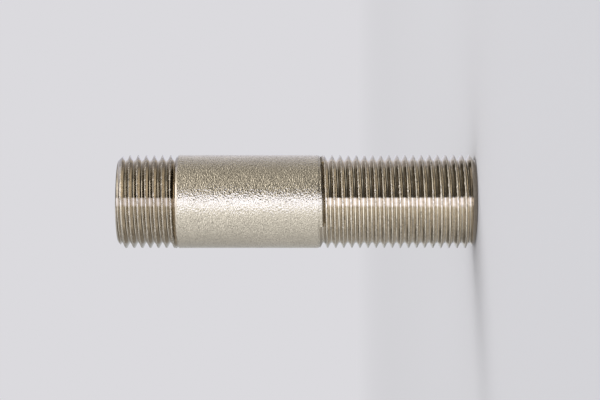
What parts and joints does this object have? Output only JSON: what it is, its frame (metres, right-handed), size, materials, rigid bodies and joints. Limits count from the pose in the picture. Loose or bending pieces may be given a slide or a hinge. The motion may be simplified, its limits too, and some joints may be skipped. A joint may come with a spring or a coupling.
{
  "type": "long thread nipple",
  "caption": "Nickel-plated brass pipe nipple: a plain shank between a short and a long parallel pipe thread, with a straight bore from end to end.",
  "frame": {"origin": "middle of the lower end face, which is the end of the long thread", "axes": "+Z along the pipe's axis, from the long thread up to the short thread; +X and +Y are across the pipe"},
  "size_m": [0.021, 0.021, 0.08],
  "materials": {
    "nickel_plating": "satin nickel plating over brass, glossier on the threads"
  },
  "bodies": {
    "root": {"nipple_body": "nickel_plating"}
  },
  "joints": []
}
